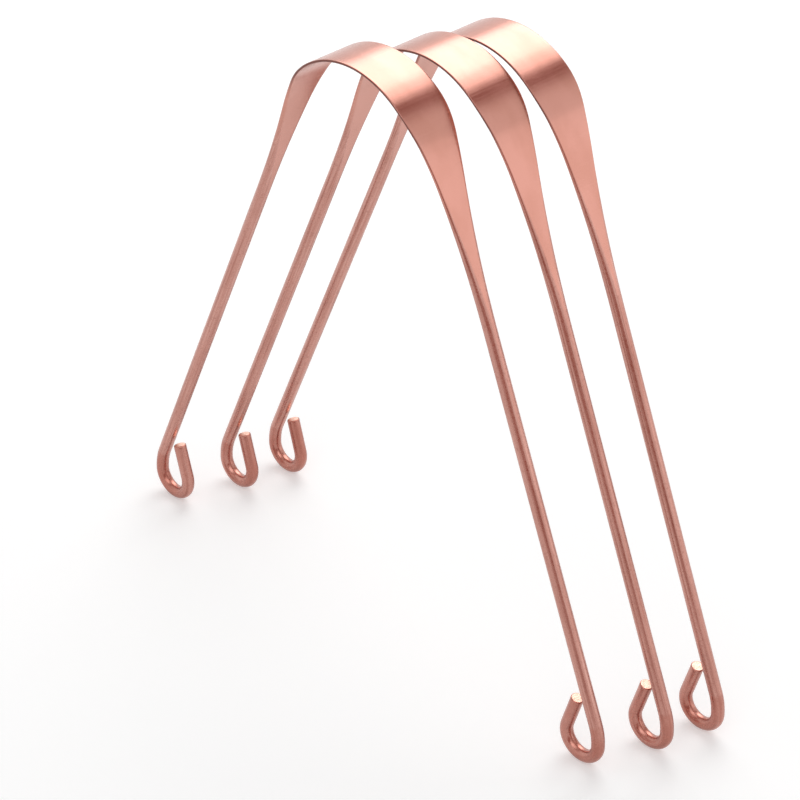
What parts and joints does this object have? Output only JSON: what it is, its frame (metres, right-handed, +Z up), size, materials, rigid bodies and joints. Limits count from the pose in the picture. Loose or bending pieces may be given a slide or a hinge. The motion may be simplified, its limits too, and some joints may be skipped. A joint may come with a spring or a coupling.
{
  "type": "tongue scraper set",
  "caption": "Row of U-shaped copper tongue scrapers: a round rod rolled to a flat arched blade, with springy arms that end in curled eyelets.",
  "frame": {"origin": "middle of the row's footprint, on the surface that the eyelets stand on", "axes": "+X across the U from the left arms to the right arms, +Y from the front scraper to the rear one along the width of the blades, +Z up to the arches"},
  "size_m": [0.158, 0.0398, 0.145],
  "materials": {
    "copper": "satin, finely brushed bare copper"
  },
  "bodies": {
    "front_blade": {"front_blade": "copper"},
    "front_left_arm": {"front_left_arm": "copper"},
    "front_right_arm": {"front_right_arm": "copper"},
    "middle_blade": {"middle_blade": "copper"},
    "middle_left_arm": {"middle_left_arm": "copper"},
    "middle_right_arm": {"middle_right_arm": "copper"},
    "rear_blade": {"rear_blade": "copper"},
    "rear_left_arm": {"rear_left_arm": "copper"},
    "rear_right_arm": {"rear_right_arm": "copper"}
  },
  "joints": [
    {"name": "front_left_flex", "type": "hinge", "parent": "front_blade", "child": "front_left_arm", "pos_m": [-0.01816, -0.01365, 0.14051], "axis": [0, -1, 0], "range_deg": [-6, 6], "stiffness_Nm_per_rad": 0.95},
    {"name": "front_right_flex", "type": "hinge", "parent": "front_blade", "child": "front_right_arm", "pos_m": [0.00806, -0.01365, 0.14051], "axis": [0, 1, 0], "range_deg": [-6, 6], "stiffness_Nm_per_rad": 0.95},
    {"name": "middle_left_flex", "type": "hinge", "parent": "middle_blade", "child": "middle_left_arm", "pos_m": [-0.01126, 0.00075, 0.14051], "axis": [0, -1, 0], "range_deg": [-6, 6], "stiffness_Nm_per_rad": 0.95},
    {"name": "middle_right_flex", "type": "hinge", "parent": "middle_blade", "child": "middle_right_arm", "pos_m": [0.01496, 0.00075, 0.14051], "axis": [0, 1, 0], "range_deg": [-6, 6], "stiffness_Nm_per_rad": 0.95},
    {"name": "rear_left_flex", "type": "hinge", "parent": "rear_blade", "child": "rear_left_arm", "pos_m": [-0.00806, 0.01365, 0.14051], "axis": [0, -1, 0], "range_deg": [-6, 6], "stiffness_Nm_per_rad": 0.95},
    {"name": "rear_right_flex", "type": "hinge", "parent": "rear_blade", "child": "rear_right_arm", "pos_m": [0.01816, 0.01365, 0.14051], "axis": [0, 1, 0], "range_deg": [-6, 6], "stiffness_Nm_per_rad": 0.95},
    {"name": "front_lift", "type": "slide", "parent": "middle_blade", "child": "front_blade", "axis": [0, 0, 1], "range_m": [0, 0.16]},
    {"name": "rear_lift", "type": "slide", "parent": "middle_blade", "child": "rear_blade", "axis": [0, 0, 1], "range_m": [0, 0.16]}
  ]
}
